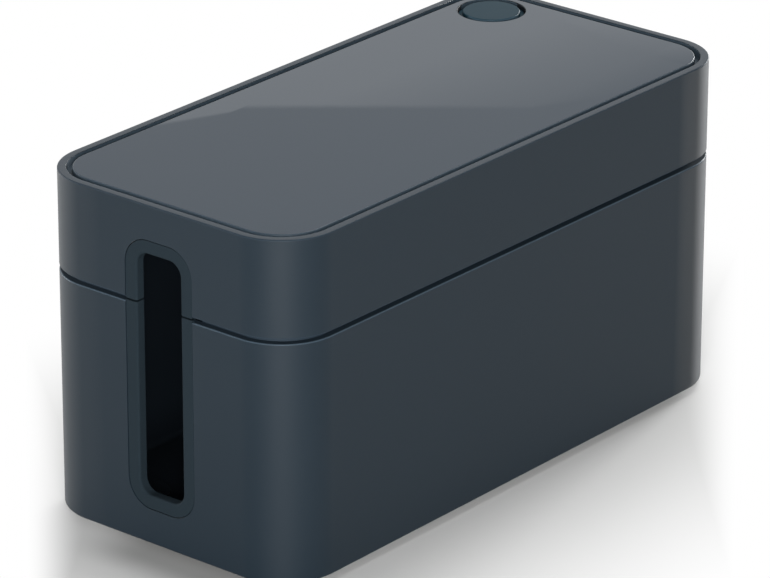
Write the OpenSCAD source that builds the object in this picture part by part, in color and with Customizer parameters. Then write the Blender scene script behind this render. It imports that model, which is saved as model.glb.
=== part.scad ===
// Cable management box: an open tub and a lift-off lid with an inset top panel,
// a plugged round cable outlet, soft-lined cable slots in both ends and four feet.
// Millimetres. The origin is on the ground under the middle of the box,
// +X runs along the box and +Z points up.

/* [Overall size] */
// Length of the box
box_l = 246; // [200:1:320]
// Width of the box
box_w = 116; // [100:1:150]
// Height from the ground to the rim of the lid
box_h = 128; // [126:1:150]
// Radius of the four upright corners
corner_r = 22; // [18:1:28]

/* [Mouldings] */
// Thickness of the upright walls
wall_t = 2.5; // [2:0.1:2.8]
// Thickness of the tub's floor
floor_t = 2.5; // [2.2:0.1:3.5]
// Radius of the tub's lower outside edge
base_edge_r = 1; // [0.5:0.1:1.5]
// Radius of the fine edges at the parting line and the rim
edge_r = 0.5; // [0.3:0.1:0.8]
// Radius inside, where a wall meets the floor or the deck
inside_r = 2; // [1:0.5:4]

/* [Parting line] */
// Height of the tub's upper edge above the ground
tub_top_z = 90.7; // [84:0.1:96]
// Open shadow gap between tub and lid
seam_gap = 1.8; // [1:0.1:2.5]
// Height of the locating lip above the tub's edge
lip_h = 8; // [5:0.5:10]
// Thickness of the locating lip
lip_t = 1.6; // [1.2:0.1:2.4]
// Clearance between the lip and the lid's skirt
lip_gap = 0.4; // [0.3:0.1:0.6]

/* [Lid top] */
// Width of the rim round the top
rim_w = 3.1; // [2.8:0.1:4.5]
// Width of the groove between rim and panel
groove_w = 2.05; // [1.5:0.05:3]
// Thickness of the inset panel
panel_t = 2.8; // [2.4:0.1:3.4]
// How far the panel lies below the rim
panel_drop = 0.1; // [0:0.1:0.5]
// Thickness of the deck that carries the panel
deck_t = 2.2; // [1.8:0.1:3]

/* [Cable slots] */
// Width of the clear opening
slot_w = 19.8; // [14:0.1:24]
// Height of the clear opening
slot_h = 89.3; // [82:0.1:92]
// Height of the opening's lower end above the ground
slot_z = 20.9; // [16:0.1:22]
// Corner radius of the clear opening
slot_r = 5.1; // [3:0.1:6]
// Width of the soft trim's face round the opening
trim_w = 5.2; // [4.6:0.1:6]
// Radius of the trim's rounded mouth
trim_mouth_r = 0.9; // [0.6:0.1:2]
// Depth of the trim from the outside face
trim_depth = 4; // [4:0.1:7]
// Gap between the upper and the lower trim
trim_gap = 0.6; // [0.4:0.1:1.8]

/* [Round outlet] */
// Distance of the outlet's axis from the end of the box
port_from_end = 20.6; // [20.5:0.1:40]
// Distance of the outlet's axis from the side of the box
port_from_side = 20.8; // [20.7:0.1:30]
// Diameter of the hole in the panel
port_hole_d = 25; // [22:0.1:26]
// Diameter of the plug's raised disc
port_disc_d = 21.1; // [18:0.1:21.5]
// Diameter of the cable bore through the deck
port_bore_d = 20; // [16:0.1:20]
// Depth of the ring groove round the disc
port_ring_depth = 1.8; // [1:0.1:2]

/* [Feet] */
// Diameter of a foot
foot_d = 16; // [10:1:20]
// Height of the tub's underside above the ground
foot_stand = 2.6; // [1.5:0.1:4]
// Depth of the foot's seat in the floor
foot_seat = 1.4; // [1:0.1:1.8]
// Distance of a foot's centre from the side walls
foot_inset = 26; // [20:1:34]

/* [Hidden] */
$fn = 96;

shell_colour = "#3a4148";
panel_colour = "#5b636a";
soft_colour = "#2d373c";
foot_colour = "#1d2023";

// Room left round pieces that are pushed or laid into a seat
seat_gap = 0.15;
// Overlap that lets one solid run into its neighbour
merge = 0.4;

floor_z = foot_stand + floor_t;
lid_z = tub_top_z + seam_gap;
lip_top_z = tub_top_z + lip_h;
lip_inset = wall_t + lip_gap;
lip_back = lip_inset + lip_t;
lip_root = 6;
lip_lead = 0.5;
lip_slot_clear = 2;

panel_z = box_h - panel_drop - panel_t;
deck_z = panel_z - deck_t;
panel_inset = rim_w + groove_w;

port_x = box_l / 2 - port_from_end;
port_y = box_w / 2 - port_from_side;

// Blades inside the lid that stand on the tub's lip and hold the gap open
blade_t = 1.8;
blade_foot = 3.2;
blade_head = 4.5;
long_blades_x = [-0.3, 0, 0.3] * box_l;
end_blade_y = slot_w / 2 + trim_w + 12;

// Stakes that hold the panel on the deck
stake_d = 3.6;
stake_head_d = 6;
stake_head_t = 1;
stake_gap = 0.2;
stake_port_gap = 8;
stake_xs = [-0.36 * box_l, 0, port_x - port_hole_d / 2 - stake_port_gap];
stake_y = 0.29 * box_w;

trim_face_t = wall_t / 2 - seat_gap;
trim_neck = 2.4;
trim_hook = 4.2;
trim_hook_t = 1;
seam_mid_z = tub_top_z + seam_gap / 2;
slot_mid_z = slot_z + slot_h / 2;

collar_t = 1.8;
collar_h = 5;
plug_flange_gap = 0.2;
plug_body_gap = 0.2;
plug_wall = 2;
plug_edge_r = 0.5;

foot_edge_r = 0.6;
foot_boss_t = 1.5;
foot_boss_h = 1.2;

// A rounded rectangle of size l by w
module rounded_rect(l, w, r) {
    square([l, w - 2 * r], center = true);
    square([l - 2 * r, w], center = true);
    for (sx = [-1, 1], sy = [-1, 1])
        translate([sx * (l / 2 - r), sy * (w / 2 - r)]) circle(r);
}

// Sweeps a section round a rounded rectangle of size l by w. The section's
// x is measured from the corner's axis, so that the outside face is at x = r.
module around(l, w, r) {
    for (turn = [0 : 3]) {
        run = turn % 2 == 0 ? w - 2 * r : l - 2 * r;
        out = turn % 2 == 0 ? l / 2 - r : w / 2 - r;
        rotate(90 * turn) translate([out, run / 2, 0]) {
            rotate([90, 0, 0]) linear_extrude(run) children();
            rotate_extrude(angle = 90) children();
        }
    }
}

// The sliver that a radius takes off the edge at a point of a section;
// sx and sy say on which side of the point the material lies
module edge_cut(at, r, sx, sy) {
    translate(at) scale([sx, sy]) difference() {
        translate([-1, -1]) square(r + 1);
        translate([r, r]) circle(r);
    }
}

// The web that fills an inside corner of a section with a radius
module inside_web(at, r, sx, sy) {
    translate(at) scale([sx, sy]) difference() {
        translate([-merge, -merge]) square(r + merge);
        translate([r, r]) circle(r);
    }
}

// The tub's wall, locating lip and outer floor in one section
module tub_section() {
    difference() {
        union() {
            polygon([
                [corner_r, foot_stand],
                [corner_r, tub_top_z],
                [corner_r - lip_inset, tub_top_z],
                [corner_r - lip_inset, lip_top_z - lip_lead],
                [corner_r - lip_inset - lip_lead, lip_top_z],
                [corner_r - lip_back, lip_top_z],
                [corner_r - lip_back, tub_top_z - lip_root],
                [corner_r - wall_t, tub_top_z - lip_root - (lip_back - wall_t)],
                [corner_r - wall_t, floor_z],
                [0, floor_z],
                [0, foot_stand]
            ]);
            inside_web([corner_r - wall_t, floor_z], inside_r, -1, 1);
        }
        edge_cut([corner_r, foot_stand], base_edge_r, -1, 1);
        edge_cut([corner_r, tub_top_z], edge_r, -1, -1);
    }
}

// The lid's skirt, rim and outer deck in one section
module lid_section() {
    difference() {
        union() {
            polygon([
                [corner_r, lid_z],
                [corner_r, box_h],
                [corner_r - rim_w, box_h],
                [corner_r - rim_w, panel_z],
                [0, panel_z],
                [0, deck_z],
                [corner_r - wall_t, deck_z],
                [corner_r - wall_t, lid_z]
            ]);
            inside_web([corner_r - wall_t, deck_z], inside_r, -1, -1);
        }
        edge_cut([corner_r, lid_z], edge_r, -1, 1);
        edge_cut([corner_r, box_h], edge_r, -1, -1);
        edge_cut([corner_r - rim_w, box_h], edge_r / 2, 1, -1);
    }
}

// The soft trim's section: x from the middle of its corner, y inwards
module trim_section() {
    difference() {
        polygon([
            [slot_r, 0],
            [slot_r + trim_w - seat_gap, 0],
            [slot_r + trim_w - seat_gap, trim_face_t],
            [slot_r + trim_neck - seat_gap, trim_face_t],
            [slot_r + trim_neck - seat_gap, wall_t + seat_gap],
            [slot_r + trim_hook, wall_t + seat_gap],
            [slot_r + trim_neck - seat_gap, wall_t + seat_gap + trim_hook_t],
            [slot_r + trim_neck - seat_gap, trim_depth],
            [slot_r, trim_depth]
        ]);
        edge_cut([slot_r, 0], trim_mouth_r, 1, 1);
        edge_cut([slot_r, trim_depth], edge_r, 1, -1);
    }
}

// Turns a shape drawn as the slot is seen into the end wall at -X
module on_end_wall() {
    translate([-box_l / 2, 0, slot_mid_z]) rotate([90, 0, 90]) children();
}

// The seat of both trims in an end wall: a shallow rebate and a through notch
module slot_seat() {
    on_end_wall() {
        translate([0, 0, -1]) linear_extrude(1 + wall_t / 2)
            rounded_rect(slot_w + 2 * trim_w, slot_h + 2 * trim_w, slot_r + trim_w);
        linear_extrude(trim_depth + wall_t)
            rounded_rect(slot_w + 2 * trim_neck, slot_h + 2 * trim_neck, slot_r + trim_neck);
    }
}

module both_ends() {
    children();
    mirror([1, 0, 0]) children();
}

module at_feet() {
    for (sx = [-1, 1], sy = [-1, 1])
        translate([sx * (box_l / 2 - foot_inset), sy * (box_w / 2 - foot_inset), 0]) children();
}

module tub() {
    lip_break = slot_w + 2 * (trim_w + lip_slot_clear);
    lip_break_z = tub_top_z - lip_root - (lip_back - wall_t) - 1;
    color(shell_colour) difference() {
        union() {
            around(box_l, box_w, corner_r) tub_section();
            translate([0, 0, foot_stand + floor_t / 2])
                cube([box_l - 2 * corner_r, box_w - 2 * corner_r, floor_t], center = true);
            at_feet() translate([0, 0, floor_z - merge])
                cylinder(h = foot_boss_h + merge, d = foot_d + 2 * foot_boss_t);
        }
        both_ends() {
            slot_seat();
            translate([-box_l / 2 + wall_t, -lip_break / 2, lip_break_z])
                cube([corner_r / 2, lip_break, box_h]);
        }
        at_feet() cylinder(h = foot_stand + foot_seat, d = foot_d + 2 * seat_gap);
    }
}

// One upright blade, drawn with the skirt's outer face at x = 0
module lid_blade() {
    translate([0, blade_t / 2, 0]) rotate([90, 0, 0]) linear_extrude(blade_t)
        polygon([
            [wall_t - merge, lip_top_z],
            [wall_t + blade_foot, lip_top_z],
            [wall_t + blade_head, deck_z + merge],
            [wall_t - merge, deck_z + merge]
        ]);
}

module lid_shell() {
    color(shell_colour) difference() {
        union() {
            around(box_l, box_w, corner_r) lid_section();
            translate([0, 0, deck_z + deck_t / 2])
                cube([box_l - 2 * corner_r, box_w - 2 * corner_r, deck_t], center = true);
            for (side = [0, 180]) rotate(side) {
                for (x = long_blades_x)
                    translate([x, -box_w / 2, 0]) rotate(90) lid_blade();
                for (y = [-1, 1] * end_blade_y)
                    translate([-box_l / 2, y, 0]) lid_blade();
            }
            translate([port_x, port_y, deck_z - collar_h])
                cylinder(h = collar_h + merge, d = port_bore_d + 2 * collar_t);
        }
        both_ends() slot_seat();
        translate([port_x, port_y, deck_z - collar_h - 1])
            cylinder(h = collar_h + deck_t + 2, d = port_bore_d);
        for (x = stake_xs, y = [-1, 1] * stake_y)
            translate([x, y, deck_z - 1]) cylinder(h = deck_t + 2, d = stake_d + 2 * stake_gap);
    }
}

module lid_panel() {
    l = box_l - 2 * panel_inset;
    w = box_w - 2 * panel_inset;
    r = corner_r - panel_inset;
    color(panel_colour) {
        difference() {
            union() {
                around(l, w, r) difference() {
                    translate([0, panel_z]) square([r, panel_t]);
                    edge_cut([r, panel_z + panel_t], edge_r, -1, -1);
                }
                translate([0, 0, panel_z + panel_t / 2])
                    cube([l - 2 * r, w - 2 * r, panel_t], center = true);
            }
            translate([port_x, port_y, panel_z - 1]) cylinder(h = panel_t + 2, d = port_hole_d);
        }
        for (x = stake_xs, y = [-1, 1] * stake_y) translate([x, y, 0]) {
            translate([0, 0, deck_z - merge])
                cylinder(h = deck_t + 2 * merge, d = stake_d);
            translate([0, 0, deck_z - stake_head_t])
                cylinder(h = stake_head_t, d = stake_head_d);
        }
    }
}

// A soft plug: disc level with the panel, flange on the deck, hollow body in the bore
module outlet_plug() {
    disc_r = port_disc_d / 2;
    body_r = port_bore_d / 2 - plug_body_gap;
    flange_r = port_hole_d / 2 - plug_flange_gap;
    top_z = box_h - panel_drop;
    ring_z = top_z - port_ring_depth;
    end_z = deck_z - collar_h;
    color(soft_colour) translate([port_x, port_y, 0]) rotate_extrude() difference() {
        polygon([
            [0, top_z],
            [disc_r, top_z],
            [disc_r, ring_z],
            [flange_r, ring_z],
            [flange_r, panel_z],
            [body_r, panel_z],
            [body_r, end_z + edge_r],
            [body_r - edge_r, end_z],
            [body_r - plug_wall, end_z],
            [body_r - plug_wall, panel_z],
            [0, panel_z]
        ]);
        edge_cut([disc_r, top_z], plug_edge_r, -1, -1);
    }
}

module slot_trim() {
    on_end_wall() around(slot_w, slot_h, slot_r) trim_section();
}

module slot_trim_lower() {
    low_z = slot_z - trim_w - 1;
    color(soft_colour) intersection() {
        slot_trim();
        translate([-box_l / 2 - 1, -box_w / 4, low_z])
            cube([2 * trim_depth, box_w / 2, seam_mid_z - trim_gap / 2 - low_z]);
    }
}

module slot_trim_upper() {
    low_z = seam_mid_z + trim_gap / 2;
    color(soft_colour) intersection() {
        slot_trim();
        translate([-box_l / 2 - 1, -box_w / 4, low_z])
            cube([2 * trim_depth, box_w / 2, box_h - low_z]);
    }
}

module slot_trim_lower_left() { slot_trim_lower(); }
module slot_trim_upper_left() { slot_trim_upper(); }
module slot_trim_lower_right() { mirror([1, 0, 0]) slot_trim_lower(); }
module slot_trim_upper_right() { mirror([1, 0, 0]) slot_trim_upper(); }

module foot(sx, sy) {
    color(foot_colour)
        translate([sx * (box_l / 2 - foot_inset), sy * (box_w / 2 - foot_inset), 0])
            rotate_extrude() difference() {
                square([foot_d / 2, foot_stand + foot_seat]);
                edge_cut([foot_d / 2, 0], foot_edge_r, -1, 1);
            }
}

module foot_front_left() { foot(-1, -1); }
module foot_front_right() { foot(1, -1); }
module foot_rear_left() { foot(-1, 1); }
module foot_rear_right() { foot(1, 1); }

tub();
lid_shell();
lid_panel();
outlet_plug();
slot_trim_lower_left();
slot_trim_upper_left();
slot_trim_lower_right();
slot_trim_upper_right();
foot_front_left();
foot_front_right();
foot_rear_left();
foot_rear_right();
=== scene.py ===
import math

import bmesh
import bpy
from mathutils import Matrix, Vector


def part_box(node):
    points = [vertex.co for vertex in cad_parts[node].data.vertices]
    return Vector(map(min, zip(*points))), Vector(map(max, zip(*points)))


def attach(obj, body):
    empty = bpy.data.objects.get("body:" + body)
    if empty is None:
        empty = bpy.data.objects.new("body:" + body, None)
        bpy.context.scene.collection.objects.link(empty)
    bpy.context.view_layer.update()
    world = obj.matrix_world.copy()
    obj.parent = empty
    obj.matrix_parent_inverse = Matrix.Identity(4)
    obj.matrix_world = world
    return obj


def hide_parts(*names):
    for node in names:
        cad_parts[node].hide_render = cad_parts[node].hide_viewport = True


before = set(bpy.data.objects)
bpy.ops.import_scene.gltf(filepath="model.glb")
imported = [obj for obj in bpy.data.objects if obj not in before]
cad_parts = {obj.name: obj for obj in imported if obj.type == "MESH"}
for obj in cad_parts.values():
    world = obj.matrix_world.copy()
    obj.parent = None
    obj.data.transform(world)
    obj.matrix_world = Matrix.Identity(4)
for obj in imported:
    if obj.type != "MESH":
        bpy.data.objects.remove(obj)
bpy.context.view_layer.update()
print("frame loaded")

mm = 0.001

# What all mouldings share, in millimetres. The overall sizes come from the frame.
tubLow, tubHigh = (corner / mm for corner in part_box("tub"))
lidLow, lidHigh = (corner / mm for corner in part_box("lid_shell"))
panelLow, panelHigh = (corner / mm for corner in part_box("lid_panel"))
cornerRadius = 22
cornerSteps = 28  # faces round each of the four corners
wall = 2.5
cornerX = tubHigh.x - cornerRadius  # the axes of the four upright corners
cornerY = tubHigh.y - cornerRadius
overlap = 0.4  # how far a joined part runs into its neighbour
beyond = 1  # how far a cutting tool reaches past what it cuts
slack = 0.1  # leeway in the tests on where a face or an edge lies
onePoint = 0.001  # points that are closer than this are one point


def hexToLinear(code):
    channels = [int(code[i:i + 2], 16) / 255 for i in (1, 3, 5)]
    linear = [c / 12.92 if c <= 0.04045 else ((c + 0.055) / 1.055) ** 2.4 for c in channels]
    return (*linear, 1)


def addNode(tree, kind, inputs=None, **settings):
    # a node with its settings; an input is a number, a colour or another node's socket
    node = tree.nodes.new(kind)
    for name, value in settings.items():
        setattr(node, name, value)
    for name, value in (inputs or {}).items():
        if isinstance(value, bpy.types.NodeSocket):
            tree.links.new(value, node.inputs[name])
        else:
            node.inputs[name].default_value = value
    return node


def ramp(tree, value, start, end, low=0, high=1, kind="SMOOTHSTEP"):
    # goes from low to high while the value goes from start to end
    return addNode(tree, "ShaderNodeMapRange", {
        "Value": value, "From Min": start, "From Max": end, "To Min": low, "To Max": high,
    }, interpolation_type=kind).outputs["Result"]


def vectorMath(tree, operation, first, second=(0, 0, 0), result="Vector"):
    return addNode(tree, "ShaderNodeVectorMath", {0: first, 1: second},
                   operation=operation).outputs[result]


def scalarMath(tree, operation, first, second):
    return addNode(tree, "ShaderNodeMath", {0: first, 1: second}, operation=operation).outputs[0]


def mixNumbers(tree, share, first, second):
    return addNode(tree, "ShaderNodeMix", {0: share, 2: first, 3: second},
                   data_type="FLOAT").outputs[0]


def mixColours(tree, share, first, second):
    # the colours are hex codes
    return addNode(tree, "ShaderNodeMix", {0: share, 6: hexToLinear(first), 7: hexToLinear(second)},
                   data_type="RGBA").outputs[2]


def chooseOnly(piece):
    bpy.ops.object.select_all(action="DESELECT")
    piece.select_set(True)
    bpy.context.view_layer.objects.active = piece


def applyPlace(piece):
    # moves the place, turn and scale of a piece into its mesh
    chooseOnly(piece)
    bpy.ops.object.transform_apply(location=True, rotation=True, scale=True)


def choose(piece, kind, test):
    # in edit mode, chooses the corners, edges or faces whose points all pass the test, in mm
    bpy.ops.mesh.select_mode(type=kind)
    bpy.ops.mesh.select_all(action="DESELECT")
    mesh = bmesh.from_edit_mesh(piece.data)
    parts = {"VERT": mesh.verts, "EDGE": mesh.edges, "FACE": mesh.faces}[kind]
    for part in parts:
        points = [part.co] if kind == "VERT" else [v.co for v in part.verts]
        if all(test(point / mm) for point in points):
            part.select_set(True)
    mesh.select_flush_mode()
    bmesh.update_edit_mesh(piece.data)


def near(a, b, reach=0.02):
    return abs(a - b) < reach


def addBlock(name, low, high):
    # a cube primitive set to its size and place, left in object mode
    low, high = Vector(low) * mm, Vector(high) * mm
    bpy.ops.object.select_all(action="DESELECT")
    bpy.ops.mesh.primitive_cube_add(size=1, location=(low + high) / 2, scale=high - low)
    block = bpy.context.object
    block.name = block.data.name = name
    applyPlace(block)
    return block


def addRoundBlock(name, low, high, radius, steps):
    # a block whose four edges along Z are rounded
    block = addBlock(name, low, high)
    bpy.ops.object.mode_set(mode="EDIT")
    bpy.ops.mesh.select_mode(type="EDGE")
    bpy.ops.mesh.select_all(action="DESELECT")
    mesh = bmesh.from_edit_mesh(block.data)
    for edge in mesh.edges:
        first, second = (v.co / mm for v in edge.verts)
        edge.select_set(near(first.x, second.x) and near(first.y, second.y))
    mesh.select_flush_mode()
    bmesh.update_edit_mesh(block.data)
    bpy.ops.mesh.bevel(offset=radius * mm, segments=steps, profile=0.5, affect="EDGES")
    bpy.ops.object.mode_set(mode="OBJECT")
    return block


def addRod(name, x, y, low, high, radius, steps=64):
    # an upright cylinder primitive, left in object mode
    bpy.ops.object.select_all(action="DESELECT")
    bpy.ops.mesh.primitive_cylinder_add(vertices=steps, radius=radius * mm, depth=(high - low) * mm,
                                        location=(x * mm, y * mm, (low + high) / 2 * mm))
    rod = bpy.context.object
    rod.name = rod.data.name = name
    applyPlace(rod)
    return rod


def copyPiece(piece, name, turn=0, shift=(0, 0, 0)):
    # a copy with a mesh of its own, turned about the upright axis and then shifted
    copy = bpy.data.objects.new(name, piece.data.copy())
    copy.data.name = name
    bpy.context.scene.collection.objects.link(copy)
    copy.matrix_world = Matrix.Translation(Vector(shift) * mm) @ Matrix.Rotation(turn, 4, "Z")
    applyPlace(copy)
    return copy


def joinAll(pieces):
    bpy.ops.object.select_all(action="DESELECT")
    for piece in pieces:
        piece.select_set(True)
    bpy.context.view_layer.objects.active = pieces[0]
    if len(pieces) > 1:
        bpy.ops.object.join()
    return pieces[0]


def combine(piece, operation, tools):
    # adds the tools to the piece or cuts them from it, and removes them
    tool = joinAll(tools)
    boolean = piece.modifiers.new("combine", "BOOLEAN")
    boolean.operation = operation
    boolean.solver = "EXACT"
    boolean.object = tool
    chooseOnly(piece)
    bpy.ops.object.modifier_apply(modifier=boolean.name)
    bpy.data.objects.remove(tool)


def drawOutline(name, points, closed=False):
    # a plane shrunk to one corner, which is extruded from point to point of an upright outline;
    # x is measured from the corner's axis, so that the outside face of a wall is at the radius;
    # the piece is left in edit mode for the steps that follow
    bpy.ops.object.select_all(action="DESELECT")
    bpy.ops.mesh.primitive_plane_add(size=mm)
    piece = bpy.context.object
    piece.name = piece.data.name = name
    points = [Vector((x, 0, z)) for x, z in points]
    bpy.ops.object.mode_set(mode="EDIT")
    bpy.ops.mesh.select_mode(type="VERT")
    bpy.ops.mesh.select_all(action="SELECT")
    bpy.ops.mesh.merge(type="CENTER")
    bpy.ops.transform.translate(value=points[0] * mm)
    for start, end in zip(points, points[1:]):
        bpy.ops.mesh.extrude_vertices_move(TRANSFORM_OT_translate={"value": (end - start) * mm})
    if closed:
        ends = (points[0], points[-1])
        choose(piece, "VERT", lambda p: any((p - end).length < onePoint for end in ends))
        bpy.ops.mesh.edge_face_add()
    return piece


def roundCorners(piece, roundings):
    # each rounding is a corner of the outline, its radius and its number of steps
    for (x, z), radius, steps in roundings:
        choose(piece, "VERT", lambda p: (p - Vector((x, 0, z))).length < onePoint)
        bpy.ops.mesh.bevel(offset=radius * mm, segments=steps, profile=0.5, affect="VERTICES")


def sweepRound(halfX, halfY, steps=cornerSteps):
    # runs the outline round a rounded rectangle whose corner axes are at halfX and halfY
    bpy.ops.mesh.select_mode(type="EDGE")
    bpy.ops.mesh.select_all(action="SELECT")
    bpy.ops.transform.translate(value=Vector((halfX, -halfY, 0)) * mm)
    runs = [((0, 2 * halfY, 0), (halfX, halfY, 0)), ((-2 * halfX, 0, 0), (-halfX, halfY, 0)),
            ((0, -2 * halfY, 0), (-halfX, -halfY, 0)), ((2 * halfX, 0, 0), (halfX, -halfY, 0))]
    for run, axis in runs:
        bpy.ops.mesh.extrude_region_move(TRANSFORM_OT_translate={"value": Vector(run) * mm})
        bpy.ops.mesh.spin(steps=steps, angle=math.radians(-90), center=Vector(axis) * mm, axis=(0, 0, 1))
    bpy.ops.mesh.select_all(action="SELECT")
    bpy.ops.mesh.remove_doubles(threshold=onePoint * mm)


def closeShell():
    # fills the middle that the sweep leaves open, turns all faces outwards and leaves edit mode
    bpy.ops.mesh.select_all(action="SELECT")
    bpy.ops.mesh.fill_holes(sides=4)
    bpy.ops.mesh.select_all(action="SELECT")
    bpy.ops.mesh.normals_make_consistent(inside=False)
    bpy.ops.object.mode_set(mode="OBJECT")


def paintFaces(piece, material, test):
    # gives a second finish to the faces whose middle, in mm, and normal pass the test
    piece.data.materials.append(material)
    for face in piece.data.polygons:
        if test(face.center / mm, face.normal):
            face.material_index = len(piece.data.materials) - 1


def fromCornerAxis(point):
    # how far a point lies from the rounded rectangle's straight or corner axes, seen from above
    return math.hypot(max(abs(point.x) - cornerX, 0), max(abs(point.y) - cornerY, 0))


def finishPiece(piece, material, body, slot, *nodes):
    # smooth curves, flat flats, material, and the CAD node that the piece stands for
    applyPlace(piece)
    bpy.ops.object.shade_smooth_by_angle(angle=math.radians(30))
    flats = piece.modifiers.new("flats", "WEIGHTED_NORMAL")
    flats.keep_sharp = True
    flats.weight = 100
    bpy.ops.object.modifier_apply(modifier=flats.name)
    piece.data.materials.clear()
    piece.data.materials.append(material)
    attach(piece, body)
    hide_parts(*nodes)
    print(piece.name, len(piece.data.polygons), "faces")


# The cable slot in both ends, which the tub, the lid and the soft trims share
slot = {
    "width": 19.8, "height": 89.3, "low": 20.9, "radius": 5.1,
    "trimWidth": 5.2,  # the trim's face round the opening
    "neck": 2.4,  # the trim's part that goes through the wall
    "rebate": 1.25,  # depth of the seat that the face lies in
    "depth": 4,  # the whole trim, measured inwards
    "steps": 14,
}
slotMiddle = slot["low"] + slot["height"] / 2


def standOnEnd(piece, side):
    # stands a shape drawn as the slot is seen in the end wall; side is -1 or 1
    piece.rotation_euler = (math.radians(90), 0, math.radians(90 if side < 0 else 270))
    piece.location = Vector((side * tubHigh.x, 0, slotMiddle)) * mm
    applyPlace(piece)


def slotSeats():
    # what both mouldings lose for the trims: a shallow rebate and a hole behind it
    seats = []
    for side in (-1, 1):
        for reach, low, high in ((slot["trimWidth"], -beyond, slot["rebate"]),
                                 (slot["neck"], -beyond / 2, slot["depth"] + wall)):
            halfX = slot["width"] / 2 + reach
            halfY = slot["height"] / 2 + reach
            seat = addRoundBlock("slotSeat", (-halfX, -halfY, low), (halfX, halfY, high),
                                 slot["radius"] + reach, slot["steps"])
            standOnEnd(seat, side)
            seats.append(seat)
    return seats


# The foot pads and their seats share their places
feet = {
    "radius": 8, "inset": 26, "seatGap": 0.15, "edge": 0.6,
    "bossWall": 1.5, "bossHeight": 1.2, "bossEdge": 0.4,
}
footPlaces = {
    "FrontLeft": (-1, -1), "FrontRight": (1, -1), "RearLeft": (-1, 1), "RearRight": (1, 1),
}
footX, footY = tubHigh.x - feet["inset"], tubHigh.y - feet["inset"]
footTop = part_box("foot_front_left")[1].z / mm


def makeTub(material, paintedShadeMaterial, paintedLightEdgeMaterial, dullPaintedLightMaterial):
    look = {
        "floor": 2.5, "baseEdge": 1, "topEdge": 0.5, "insideRadius": 2, "top": 90.7,
        "lipInset": 2.9, "lipBack": 4.5, "lipRoot": 6, "lipLead": 0.5,
        "lipBreak": 34.2,  # width of the gap that the lip leaves at each slot
        "paintedHighlightShare": 0.6,  # part of the top edge's height that carries the painted highlight
        "paintedHighlightEnd": 8,  # how far the painted highlight runs past the axis of the far corners
        "dullTilt": -0.1, "paintedHighlightTilt": 0.15,  # least upward part of a face's normal
    }
    radius, stand, top, lipTop = cornerRadius, tubLow.z, look["top"], tubHigh.z
    floorTop = stand + look["floor"]
    joggle = top - look["lipRoot"] - (look["lipBack"] - wall)
    tub = drawOutline("tubMoulding", [
        (0, stand),
        (radius, stand),
        (radius, top),
        (radius - look["lipInset"], top),
        (radius - look["lipInset"], lipTop - look["lipLead"]),
        (radius - look["lipInset"] - look["lipLead"], lipTop),
        (radius - look["lipBack"], lipTop),
        (radius - look["lipBack"], top - look["lipRoot"]),
        (radius - wall, joggle),
        (radius - wall, floorTop),
        (0, floorTop),
    ])
    roundCorners(tub, [
        ((radius, stand), look["baseEdge"], 5),
        ((radius, top), look["topEdge"], 4),
        ((radius - wall, floorTop), look["insideRadius"], 6),
    ])
    sweepRound(cornerX, cornerY)
    closeShell()

    bosses = []
    for sideX, sideY in footPlaces.values():
        boss = addRod("footBoss", sideX * footX, sideY * footY, floorTop - overlap,
                      floorTop + feet["bossHeight"], feet["radius"] + feet["bossWall"])
        bpy.ops.object.mode_set(mode="EDIT")
        choose(boss, "FACE", lambda p: near(p.z, floorTop + feet["bossHeight"]))
        bpy.ops.mesh.bevel(offset=feet["bossEdge"] * mm, segments=3, affect="EDGES")
        bpy.ops.object.mode_set(mode="OBJECT")
        bosses.append(boss)
    combine(tub, "UNION", bosses)

    cuts = slotSeats()
    for side in (-1, 1):
        inner, outer = sorted((side * (tubHigh.x - cornerRadius / 2), side * (tubHigh.x - wall)))
        cuts.append(addBlock("lipBreak", (inner, -look["lipBreak"] / 2, joggle - beyond),
                             (outer, look["lipBreak"] / 2, lipTop + beyond)))
    for cut in cuts:
        combine(tub, "DIFFERENCE", [cut])
    for sideX, sideY in footPlaces.values():
        combine(tub, "DIFFERENCE", [addRod("footSeat", sideX * footX, sideY * footY, -beyond, footTop,
                                           feet["radius"] + feet["seatGap"])])
    finishPiece(tub, material, "base", "shell", "tub")
    paintedHighlightFrom = top - look["paintedHighlightShare"] * look["topEdge"]
    # the lip in the gap and the top edge take the dull copy, painted lighter as light in the seam
    paintFaces(tub, dullPaintedLightMaterial, lambda p, n: p.z > top - look["topEdge"] and n.z > look["dullTilt"])
    # a painted highlight: a pale line along the tub's top edge, which stops short of the far end
    paintFaces(tub, paintedLightEdgeMaterial, lambda p, n: paintedHighlightFrom < p.z < top and n.z > look["paintedHighlightTilt"]
               and fromCornerAxis(p) > radius - look["topEdge"] and p.x < cornerX + look["paintedHighlightEnd"])
    # painted shade: the tub's interior is darker
    paintFaces(tub, paintedShadeMaterial, lambda p, n: floorTop - slack < p.z
               and (p.z < top - slack or p.x > cornerX)
               and fromCornerAxis(p) < radius - wall + slack)


# The round outlet, which the lid, the panel and the plug share
port = {"hole": 12.5, "bore": 10, "collarWall": 1.8, "disc": 10.55, "ringDepth": 1.8, "steps": 96}
portLow, portHigh = (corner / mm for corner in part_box("outlet_plug"))
portX, portY = (portLow.x + portHigh.x) / 2, (portLow.y + portHigh.y) / 2


def fromPort(point):
    return math.hypot(point.x - portX, point.y - portY)


# The stakes that hold the panel on the deck
stakes = {
    "radius": 1.8, "headRadius": 3, "headHeight": 1, "headEdge": 0.6, "holeRadius": 2,
    "leftX": -88.56, "y": 33.64, "steps": 32,
    "portGap": 8,  # between the panel's hole and the nearest stake
}
stakeXs = (stakes["leftX"], 0, portX - port["hole"] - stakes["portGap"])
stakePlaces = [(x, y) for x in stakeXs for y in (-stakes["y"], stakes["y"])]
panelThick = 2.8
panelBottom = panelHigh.z - panelThick
deckBottom = panelLow.z + stakes["headHeight"]


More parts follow.
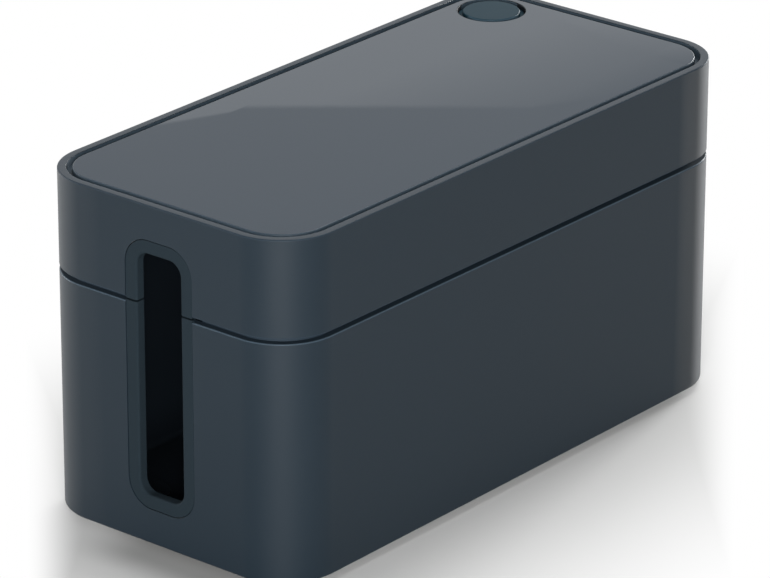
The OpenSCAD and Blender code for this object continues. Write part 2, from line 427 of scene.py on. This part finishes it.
def makeLidShell(material, paintedShadeMaterial, rimPaintedLightMaterial, paintedLightEdgeMaterial, dullPaintedLightMaterial):
    look = {
        "rim": 3.1, "edge": 0.5, "rimInnerEdge": 0.25, "insideRadius": 2,
        "bladeThick": 1.8, "bladeFoot": 3.2, "bladeHead": 4.5,  # how far a blade stands in from the wall
        "bladesAlong": (-73.8, 0, 73.8), "bladesAcross": (-27.1, 27.1), "bladeEdge": 0.3,
        "edgeTilt": 0.1, "levelTilt": 0.9,  # limits on the upright part of a face's normal
    }
    radius, low, top = cornerRadius, lidLow.z, lidHigh.z
    lid = drawOutline("lidMoulding", [
        (0, panelBottom),
        (radius - look["rim"], panelBottom),
        (radius - look["rim"], top),
        (radius, top),
        (radius, low),
        (radius - wall, low),
        (radius - wall, deckBottom),
        (0, deckBottom),
    ])
    roundCorners(lid, [
        ((radius - look["rim"], top), look["rimInnerEdge"], 3),
        ((radius, top), look["edge"], 4),
        ((radius, low), look["edge"], 4),
        ((radius - wall, deckBottom), look["insideRadius"], 6),
    ])
    sweepRound(cornerX, cornerY)
    closeShell()

    blade = addBlock("blade", (wall - overlap, -look["bladeThick"] / 2, tubHigh.z),
                     (wall + look["bladeHead"], look["bladeThick"] / 2, deckBottom + overlap))
    bpy.ops.object.mode_set(mode="EDIT")
    choose(blade, "VERT", lambda p: near(p.x, wall + look["bladeHead"]) and near(p.z, tubHigh.z))
    bpy.ops.transform.translate(value=((look["bladeFoot"] - look["bladeHead"]) * mm, 0, 0))
    choose(blade, "FACE", lambda p: p.x > wall + look["bladeFoot"] - slack)
    bpy.ops.mesh.bevel(offset=look["bladeEdge"] * mm, segments=2, affect="EDGES")
    bpy.ops.object.mode_set(mode="OBJECT")
    blades = []
    for x in look["bladesAlong"]:
        blades.append(copyPiece(blade, "blade", math.radians(90), (x, lidLow.y, 0)))
        blades.append(copyPiece(blade, "blade", math.radians(-90), (x, lidHigh.y, 0)))
    for y in look["bladesAcross"]:
        blades.append(copyPiece(blade, "blade", 0, (lidLow.x, y, 0)))
        blades.append(copyPiece(blade, "blade", math.radians(180), (lidHigh.x, y, 0)))
    bpy.data.objects.remove(blade)
    combine(lid, "UNION", blades)
    combine(lid, "UNION", [addRod("collar", portX, portY, portLow.z, deckBottom + overlap,
                                  port["bore"] + port["collarWall"])])
    for seat in slotSeats():
        combine(lid, "DIFFERENCE", [seat])
    combine(lid, "DIFFERENCE", [addRod("bore", portX, portY, portLow.z - beyond, panelBottom + beyond,
                                       port["bore"])])
    combine(lid, "DIFFERENCE", [addRod("stakeHole", x, y, deckBottom - beyond, panelBottom + beyond,
                                       stakes["holeRadius"], stakes["steps"]) for x, y in stakePlaces])
    finishPiece(lid, material, "lid", "shell", "lid_shell")
    # painted shade: the lid's interior is darker
    paintFaces(lid, paintedShadeMaterial, lambda p, n: low + look["edge"] < p.z < panelBottom - slack
               and fromCornerAxis(p) < radius - wall + slack)
    # the rounded edges take the dull copy, painted lighter like the lip in the seam
    paintFaces(lid, dullPaintedLightMaterial, lambda p, n: abs(n.z) > look["edgeTilt"]
               and fromCornerAxis(p) > radius - look["edge"])
    # painted light: the rim's top face is lighter and bluer than the walls
    paintFaces(lid, rimPaintedLightMaterial, lambda p, n: n.z > look["levelTilt"] and near(p.z, top))
    # painted light on the walls of the groove round the panel
    paintFaces(lid, paintedLightEdgeMaterial, lambda p, n: panelBottom - slack < p.z < top - look["rimInnerEdge"]
               and fromCornerAxis(p) < radius - look["rim"] + slack)


def makeLidPanel(material, paintedLightEdgeMaterial, holePaintedShadeMaterial):
    look = {
        "edge": 0.5, "holeEdge": 0.3,
        "edgeTilt": 0.9, "holeTilt": 0.98,  # limits on the upright part of a face's normal
        "farSide": -0.8,  # the normals on the far side of the hole turn this much to the near end
    }
    radius, top = panelHigh.x - cornerX, panelHigh.z
    panel = drawOutline("topPanel", [
        (0, panelBottom),
        (radius, panelBottom),
        (radius, top),
        (0, top),
    ])
    roundCorners(panel, [((radius, top), look["edge"], 4)])
    sweepRound(cornerX, cornerY)
    closeShell()
    combine(panel, "DIFFERENCE", [addRod("portHole", portX, portY, panelBottom - beyond, top + beyond,
                                         port["hole"], port["steps"])])
    chooseOnly(panel)
    bpy.ops.object.mode_set(mode="EDIT")
    choose(panel, "EDGE", lambda p: near(p.z, top) and near(fromPort(p), port["hole"], slack))
    bpy.ops.mesh.bevel(offset=look["holeEdge"] * mm, segments=3, affect="EDGES")
    bpy.ops.object.mode_set(mode="OBJECT")
    pins, heads = [], []
    for x, y in stakePlaces:
        pins.append(addRod("stake", x, y, deckBottom - overlap, panelBottom + overlap,
                           stakes["radius"], stakes["steps"]))
        head = addRod("stakeHead", x, y, panelLow.z, deckBottom, stakes["headRadius"], stakes["steps"])
        bpy.ops.object.mode_set(mode="EDIT")
        choose(head, "FACE", lambda p: near(p.z, panelLow.z))
        bpy.ops.mesh.bevel(offset=stakes["headEdge"] * mm, segments=4, affect="EDGES")
        bpy.ops.object.mode_set(mode="OBJECT")
        heads.append(head)
    combine(panel, "UNION", pins)
    combine(panel, "UNION", heads)
    finishPiece(panel, material, "lid", "panel", "lid_panel")
    # painted light round the panel's edge, the groove's far wall
    paintFaces(panel, paintedLightEdgeMaterial, lambda p, n: p.z > panelBottom and abs(n.z) < look["edgeTilt"]
               and fromCornerAxis(p) > radius - look["edge"])
    inHole = port["hole"] + look["holeEdge"] + slack
    # painted shade: the wall of the hole is darker
    paintFaces(panel, holePaintedShadeMaterial, lambda p, n: p.z > panelBottom and abs(n.z) < look["holeTilt"]
               and fromPort(p) < inHole)
    # painted light on the far side of the hole, which faces the near end
    paintFaces(panel, paintedLightEdgeMaterial, lambda p, n: p.z > panelBottom and n.x + n.y < look["farSide"]
               and fromPort(p) < inHole)


def makeOutletPlug(material, paintedLightEdgeMaterial):
    look = {
        "flange": 12.3, "body": 9.8, "skin": 2, "discEdge": 0.5, "ringEdge": 0.25, "endEdge": 0.5,
        "nearSide": -0.6,  # the normals on the side with painted light turn this much to the near end
    }
    top, end = portHigh.z, portLow.z
    ring = top - port["ringDepth"]
    plug = drawOutline("outletPlug", [
        (0, top),
        (port["disc"], top),
        (port["disc"], ring),
        (look["flange"], ring),
        (look["flange"], panelBottom),
        (look["body"], panelBottom),
        (look["body"], end),
        (look["body"] - look["skin"], end),
        (look["body"] - look["skin"], panelBottom),
        (0, panelBottom),
    ])
    roundCorners(plug, [
        ((port["disc"], top), look["discEdge"], 4),
        ((port["disc"], ring), look["ringEdge"], 3),
        ((look["body"], end), look["endEdge"], 3),
    ])
    bpy.ops.mesh.select_all(action="SELECT")
    bpy.ops.mesh.spin(steps=port["steps"], angle=math.radians(360), center=(0, 0, 0), axis=(0, 0, 1))
    bpy.ops.mesh.select_all(action="SELECT")
    bpy.ops.mesh.remove_doubles(threshold=onePoint * mm)
    bpy.ops.transform.translate(value=(portX * mm, portY * mm, 0))
    closeShell()
    finishPiece(plug, material, "plug", "soft_trim", "outlet_plug")
    # painted light on the near side of the disc
    paintFaces(plug, paintedLightEdgeMaterial, lambda p, n: ring < p.z < top - slack and n.x + n.y < look["nearSide"]
               and near(fromPort(p), port["disc"], look["discEdge"]))


def makeSlotTrims(material):
    look = {
        "seatGap": 0.25, "faceThick": 1.1, "hook": 4.2, "hookThick": 1,
        "mouth": 0.9, "faceEdge": 0.3, "backEdge": 0.5, "cutEdge": 0.2,
    }
    neck = slot["radius"] + slot["neck"] - look["seatGap"]
    face = slot["radius"] + slot["trimWidth"] - look["seatGap"]
    hookStart = wall + look["seatGap"]
    whole = drawOutline("slotTrim", [
        (slot["radius"], 0),
        (face, 0),
        (face, look["faceThick"]),
        (neck, look["faceThick"]),
        (neck, hookStart),
        (slot["radius"] + look["hook"], hookStart),
        (neck, hookStart + look["hookThick"]),
        (neck, slot["depth"]),
        (slot["radius"], slot["depth"]),
    ], closed=True)
    roundCorners(whole, [
        ((slot["radius"], 0), look["mouth"], 10),
        ((face, 0), look["faceEdge"], 3),
        ((slot["radius"], slot["depth"]), look["backEdge"], 4),
    ])
    sweepRound(slot["width"] / 2 - slot["radius"], slot["height"] / 2 - slot["radius"], slot["steps"])
    closeShell()
    standOnEnd(whole, -1)

    # each trim is the part of the whole ring on its side of the parting line
    for level, cutZ, keepLow in (("Lower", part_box("slot_trim_lower_left")[1].z, True),
                                 ("Upper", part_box("slot_trim_upper_left")[0].z, False)):
        left = copyPiece(whole, "slotTrim" + level + "Left")
        chooseOnly(left)
        bpy.ops.object.mode_set(mode="EDIT")
        bpy.ops.mesh.select_all(action="SELECT")
        bpy.ops.mesh.bisect(plane_co=(0, 0, cutZ), plane_no=(0, 0, 1), use_fill=True,
                            clear_outer=keepLow, clear_inner=not keepLow)
        choose(left, "FACE", lambda p: near(p.z, cutZ / mm))
        bpy.ops.mesh.bevel(offset=look["cutEdge"] * mm, segments=2, affect="EDGES")
        bpy.ops.object.mode_set(mode="OBJECT")
        right = copyPiece(left, "slotTrim" + level + "Right", math.radians(180))
        for piece, end in ((left, "left"), (right, "right")):
            finishPiece(piece, material, "base" if keepLow else "lid", "soft_trim",
                        "slot_trim_" + level.lower() + "_" + end)
    bpy.data.objects.remove(whole)


def makeFeet(material):
    first = addRod("foot", 0, 0, 0, footTop, feet["radius"])
    bpy.ops.object.mode_set(mode="EDIT")
    choose(first, "FACE", lambda p: near(p.z, 0))
    bpy.ops.mesh.bevel(offset=feet["edge"] * mm, segments=5, affect="EDGES")
    bpy.ops.object.mode_set(mode="OBJECT")
    for name, (sideX, sideY) in footPlaces.items():
        foot = copyPiece(first, "foot" + name, 0, (sideX * footX, sideY * footY, 0))
        node = "foot_" + ("front" if sideY < 0 else "rear") + ("_left" if sideX < 0 else "_right")
        finishPiece(foot, material, "base", "foot", node)
    bpy.data.objects.remove(first)


# Materials. Object coordinates are metres, so a pattern of so many mm has a scale of 1000 / mm.

def leanNearCorners(tree, place, look):
    # tilts the shading as if the walls began to turn a little before the arc of the far corners
    axes = addNode(tree, "ShaderNodeSeparateXYZ", {"Vector": place}).outputs
    falls = []
    for axis, corner in (("X", cornerX), ("Y", cornerY)):
        start, end = (corner - look["leanBefore"]) * mm, (corner + look["leanAfter"]) * mm
        falls.append(ramp(tree, axes[axis], start, end, look["lean" + axis], 0))
    fall = scalarMath(tree, "ADD", *falls)
    return addNode(tree, "ShaderNodeBump", {"Height": fall, "Distance": look["leanDepth"] * mm,
                                            "Strength": 1}).outputs["Normal"]


def grainedPlastic(name, look):
    # what the mouldings and soft parts share: a melt cloud in colour and gloss, and a fine grain
    material = bpy.data.materials.new(name)
    material.use_nodes = True
    tree = material.node_tree
    tree.nodes.clear()
    place = addNode(tree, "ShaderNodeTexCoord").outputs["Object"]
    cloud = addNode(tree, "ShaderNodeTexNoise", {
        "Vector": place, "Scale": 1000 / look["cloud"], "Detail": 3}).outputs["Fac"]
    grain = addNode(tree, "ShaderNodeTexNoise", {
        "Vector": place, "Scale": 1000 / look["grain"], "Detail": 2}).outputs["Fac"]
    bumps = {"Height": grain, "Distance": look["grainDepth"] * mm, "Strength": 1}
    if "leanDepth" in look:
        bumps["Normal"] = leanNearCorners(tree, place, look)
    shader = addNode(tree, "ShaderNodeBsdfPrincipled", {
        "Base Color": mixColours(tree, cloud, look["deep"], look["colour"]),
        "Roughness": ramp(tree, cloud, 0, 1, look["roughness"] - look["roughnessSpread"],
                          look["roughness"] + look["roughnessSpread"], "LINEAR"),
        "IOR": look["ior"],
        "Specular IOR Level": look["specular"],
        "Sheen Weight": look.get("sheen", 0),
        "Sheen Roughness": look.get("sheenRoughness", 0.5),
        "Normal": addNode(tree, "ShaderNodeBump", bumps).outputs["Normal"],
    })
    addNode(tree, "ShaderNodeOutputMaterial", {"Surface": shader.outputs["BSDF"]})
    return material


def sparkErodedAbs():
    # ABS moulded in a spark-eroded steel mould: an even fine grain breaks up every reflection,
    # so the walls are dull slate and only grazing edges lighten
    return grainedPlastic("sparkErodedAbs", {
        "colour": "#19252e", "deep": "#17232c", "cloud": 35,
        "roughness": 0.5, "roughnessSpread": 0.02, "ior": 1.5, "specular": 0.25,
        "sheen": 0.07, "sheenRoughness": 0.3,
        "leanBefore": 10, "leanAfter": 14.5, "leanDepth": 5.4,  # mm, from the corner's axis
        "leanX": 1, "leanY": 0.4,
        "grain": 0.45, "grainDepth": 0.004,  # mm; the real grain of about 0.1 mm is too fine to show
    })


def dullPaintedLightAbs():
    # the same moulding, flat and dull, on the lip in the gap and the rounded edges; its colour is painted
    # lighter than the shell's, as light in the seam gap
    return grainedPlastic("dullPaintedLightAbs", {
        "colour": "#25313b", "deep": "#232f39", "cloud": 35,
        "roughness": 0.6, "roughnessSpread": 0.02, "ior": 1.5, "specular": 0.2,
        "grain": 0.45, "grainDepth": 0.004,
    })


def polishedAbs():
    # ABS moulded against a polished plate: a smooth dark sheet that mirrors the room at a low angle
    return grainedPlastic("polishedAbs", {
        "colour": "#1a3142", "deep": "#182f40", "cloud": 60,
        "roughness": 0.008, "roughnessSpread": 0.002, "ior": 1.5, "specular": 0.31,
        "grain": 9, "grainDepth": 0.0004,  # mm; the faint waviness of a moulded sheet
    })


def paintedShadeAbs():
    # the interior of the mouldings, off the plain side of the mould, and the wall of the panel's hole:
    # its darker colour is painted shade
    return grainedPlastic("paintedShadeAbs", {
        "colour": "#151b21", "deep": "#13191f", "cloud": 35,
        "roughness": 0.6, "roughnessSpread": 0.03, "ior": 1.5, "specular": 0.1,
        "grain": 0.6, "grainDepth": 0.002,
    })


def burnishedPaintedLightAbs():
    # the rim's top face, rubbed smooth by hands: it shines like the panel, but less sharply; its colour
    # is painted lighter and bluer than the walls', as light from above
    return grainedPlastic("burnishedPaintedLightAbs", {
        "colour": "#192d3b", "deep": "#172b39", "cloud": 60,
        "roughness": 0.25, "roughnessSpread": 0.02, "ior": 1.5, "specular": 0.21,
        "grain": 0.45, "grainDepth": 0.001,
    })


def paintedLightEdgeAbs():
    # painted light and highlight on edges: a pale line along the tub's top edge at the gap, the walls of
    # the groove, round the panel and the far side of its hole
    return grainedPlastic("paintedLightEdgeAbs", {
        "colour": "#3f4d58", "deep": "#3d4b56", "cloud": 20,
        "roughness": 0.5, "roughnessSpread": 0.03, "ior": 1.5, "specular": 0.25,
        "grain": 0.45, "grainDepth": 0.002,
    })


def softTpe():
    # thermoplastic elastomer, moulded dull: darker and flatter than the hard walls
    return grainedPlastic("softTpe", {
        "colour": "#222b31", "deep": "#20292f", "cloud": 20,
        "roughness": 0.75, "roughnessSpread": 0.03, "ior": 1.5, "specular": 0.03,
        "grain": 0.35, "grainDepth": 0.006,
    })


def silkyPaintedLightTpe():
    # the same elastomer, silkier on top under a finger; its colour is painted lighter and bluer than the
    # trims', as light from above
    return grainedPlastic("silkyPaintedLightTpe", {
        "colour": "#1a3946", "deep": "#183744", "cloud": 20,
        "roughness": 0.55, "roughnessSpread": 0.03, "ior": 1.5, "specular": 0.12,
        "grain": 0.35, "grainDepth": 0.004,
    })


def paintedLightTpe():
    # painted light on the near side of the plug's disc, where light from the front falls
    return grainedPlastic("paintedLightTpe", {
        "colour": "#425967", "deep": "#405765", "cloud": 10,
        "roughness": 0.6, "roughnessSpread": 0.03, "ior": 1.5, "specular": 0.2,
        "grain": 0.35, "grainDepth": 0.004,
    })


def blackRubber():
    # vulcanised rubber with carbon black: nearly black and matt
    return grainedPlastic("blackRubber", {
        "colour": "#1c1f21", "deep": "#191b1d", "cloud": 8,
        "roughness": 0.8, "roughnessSpread": 0.05, "ior": 1.52, "specular": 0.35,
        "grain": 0.5, "grainDepth": 0.02,
    })


# The studio

def directionTo(azimuth, elevation):
    # azimuth 0 is straight before the long side, 90 is beyond the port end; degrees
    azimuth, elevation = math.radians(azimuth), math.radians(elevation)
    return Vector((math.sin(azimuth) * math.cos(elevation), -math.cos(azimuth) * math.cos(elevation),
                   math.sin(elevation)))


def makeCamera():
    view = {"lens": 241.57, "azimuth": -50.364, "elevation": 22.722, "roll": 0.114,
            "aim": (14.078, 14.731, 50.929), "distance": 1858.3}  # degrees and mm
    back = directionTo(view["azimuth"], view["elevation"])
    bpy.ops.object.camera_add()
    camera = bpy.context.object
    camera.name = "camera"
    camera.data.sensor_width = 36
    camera.data.lens = view["lens"]
    camera.data.clip_start, camera.data.clip_end = 0.05, 50
    camera.location = (Vector(view["aim"]) + back * view["distance"]) * mm
    roll = Matrix.Rotation(math.radians(view["roll"]), 4, "Z")
    turn = back.to_track_quat("Z", "Y").to_matrix().to_4x4() @ roll
    camera.rotation_euler = turn.to_euler()
    bpy.context.scene.camera = camera


def makeLamps():
    # area lamps that face the middle of the box; sizes and distance in metres
    lamps = [
        {"name": "frontStrip", "azimuth": -54, "elevation": 4.5, "wide": 0.55, "high": 0.25, "watts": 15},
        {"name": "frontUpper", "azimuth": -50, "elevation": 20, "wide": 0.5, "high": 0.25, "watts": 18},
        {"name": "rearStrip", "azimuth": -165, "elevation": 5, "wide": 0.6, "high": 0.28, "watts": 16.5},
        {"name": "sideLamp", "azimuth": 95, "elevation": 6, "wide": 0.3, "high": 0.3, "watts": 30},
        {"name": "key", "azimuth": 95, "elevation": 60, "wide": 0.9, "high": 0.9, "watts": 9.3},
    ]
    distance = 1.6
    middle = Vector((0, 0, lidHigh.z / 2)) * mm
    for lamp in lamps:
        back = directionTo(lamp["azimuth"], lamp["elevation"])
        bpy.ops.object.light_add(type="AREA", location=middle + back * distance)
        light = bpy.context.object
        light.name = lamp["name"]
        light.rotation_euler = back.to_track_quat("Z", "Y").to_euler()
        light.data.shape = "RECTANGLE"
        light.data.size, light.data.size_y = lamp["wide"], lamp["high"]
        light.data.energy = lamp["watts"]
        light.visible_camera = False


def makeWorld():
    # behind the box a white paper sweep stands up to a level edge, with a dimmer room above it;
    # the room on the near side is dark, so that the walls keep their colour
    room = {
        "sweep": 1.18, "above": 0.8, "near": 0,  # strengths; 1 is white
        "edge": 20.7, "edgeSoft": 0.022,  # degrees of elevation
        "behind": (0.77, 0.638, 0), "turn": 0.6,  # from the near side to the far side
        # the sweep darkens towards its top right
        "shade": (-0.467, -0.052, -0.883), "shadeFrom": -0.691, "shadeTo": -0.6757,
    }
    world = bpy.data.worlds.new("studioRoom")
    bpy.context.scene.world = world
    world.use_nodes = True
    tree = world.node_tree
    tree.nodes.clear()
    direction = addNode(tree, "ShaderNodeTexCoord").outputs["Generated"]
    height = addNode(tree, "ShaderNodeSeparateXYZ", {"Vector": direction}).outputs["Z"]
    low, high = (math.sin(math.radians(room["edge"] + side * room["edgeSoft"])) for side in (-1, 1))
    above = ramp(tree, height, low, high, kind="LINEAR")
    along = vectorMath(tree, "DOT_PRODUCT", direction, room["shade"], "Value")
    sweep = ramp(tree, along, room["shadeFrom"], room["shadeTo"], room["above"], room["sweep"], "LINEAR")
    far = mixNumbers(tree, above, sweep, room["above"])
    depth = vectorMath(tree, "DOT_PRODUCT", direction, room["behind"], "Value")
    level = mixNumbers(tree, ramp(tree, depth, 0, room["turn"]), room["near"], far)
    seen = addNode(tree, "ShaderNodeLightPath").outputs["Is Camera Ray"]
    level = mixNumbers(tree, seen, level, 1)
    background = addNode(tree, "ShaderNodeBackground", {"Color": (1, 1, 1, 1), "Strength": level})
    addNode(tree, "ShaderNodeOutputWorld", {"Surface": background.outputs["Background"]})


def makeFloor():
    # plain matt paper that turns white beyond the soft shadow; lengths in mm
    look = {
        "half": 3000, "thick": 20, "paper": "#dbdbda",
        "fadeFrom": 2, "fadeTo": 112,  # measured from the box
        # the two sides of the shadow: a direction, and where the fade starts and ends along it
        "sides": (((-0.692, 0.725, 0), 111, 132), ((0.584, -0.815, 0), 104, 125)),
        "behind": (0.77, 0.638, 0), "behindFrom": 60, "behindTo": 140,
        # the painted shadow on the paper by the near end: where it starts and is full, from the box and
        # along Y and X
        "paintedShadow": "#a7a7a6", "paintedShadowFrom": 22, "paintedShadowTo": 4,
        "paintedShadowY": (35, 5), "paintedShadowX": (-100, -118),
    }
    half = look["half"]
    floor = addBlock("floor", (-half, -half, -look["thick"]), (half, half, 0))
    material = bpy.data.materials.new("matPaper")
    material.use_nodes = True
    tree = material.node_tree
    tree.nodes.clear()

    def rampMm(value, start, end):
        return ramp(tree, value, start * mm, end * mm)

    def distanceAlong(direction):
        return vectorMath(tree, "DOT_PRODUCT", place, direction, "Value")

    place = addNode(tree, "ShaderNodeTexCoord").outputs["Object"]
    side = vectorMath(tree, "ABSOLUTE", place)
    side = vectorMath(tree, "SUBTRACT", side, (cornerX * mm, cornerY * mm, 1))
    reach = vectorMath(tree, "LENGTH", vectorMath(tree, "MAXIMUM", side), result="Value")
    fade = rampMm(reach, cornerRadius + look["fadeFrom"], cornerRadius + look["fadeTo"])
    white = fade
    for direction, start, end in look["sides"]:
        white = scalarMath(tree, "MAXIMUM", white, rampMm(distanceAlong(direction), start, end))

    # a reflection of the floor is white only behind the box; before it, the paper is as lit as it is
    path = addNode(tree, "ShaderNodeLightPath").outputs
    behind = rampMm(distanceAlong(look["behind"]), look["behindFrom"], look["behindTo"])
    mirrored = scalarMath(tree, "MAXIMUM", path["Is Glossy Ray"], path["Is Transmission Ray"])
    mirrored = scalarMath(tree, "MULTIPLY", scalarMath(tree, "MULTIPLY", mirrored, behind), fade)
    seen = scalarMath(tree, "MULTIPLY", path["Is Camera Ray"], white)
    share = scalarMath(tree, "MAXIMUM", seen, mirrored)

    # a painted shadow: the paper is dimmer close to the near end
    axes = addNode(tree, "ShaderNodeSeparateXYZ", {"Vector": place}).outputs
    paintedShadow = rampMm(reach, cornerRadius + look["paintedShadowFrom"], cornerRadius + look["paintedShadowTo"])
    for axis in ("Y", "X"):
        paintedShadow = scalarMath(tree, "MULTIPLY", paintedShadow, rampMm(axes[axis], *look["paintedShadow" + axis]))
    paper = addNode(tree, "ShaderNodeBsdfDiffuse", {
        "Color": mixColours(tree, paintedShadow, look["paper"], look["paintedShadow"])})
    glow = addNode(tree, "ShaderNodeEmission", {"Color": (1, 1, 1, 1), "Strength": 1})
    mixed = addNode(tree, "ShaderNodeMixShader", {0: share, 1: paper.outputs[0], 2: glow.outputs[0]})
    addNode(tree, "ShaderNodeOutputMaterial", {"Surface": mixed.outputs[0]})
    floor.data.materials.append(material)


makeCamera()
makeLamps()
makeWorld()
makeFloor()
print("studio ready")

hardShell = sparkErodedAbs()
inside = paintedShadeAbs()
paintedLightEdge = paintedLightEdgeAbs()
dullPaintedLight = dullPaintedLightAbs()
makeTub(hardShell, inside, paintedLightEdge, dullPaintedLight)
makeLidShell(hardShell, inside, burnishedPaintedLightAbs(), paintedLightEdge, dullPaintedLight)
makeLidPanel(polishedAbs(), paintedLightEdge, inside)
makeOutletPlug(silkyPaintedLightTpe(), paintedLightTpe())
makeSlotTrims(softTpe())
makeFeet(blackRubber())

bpy.context.scene.view_settings.view_transform = "Standard"
print("pieces ready")
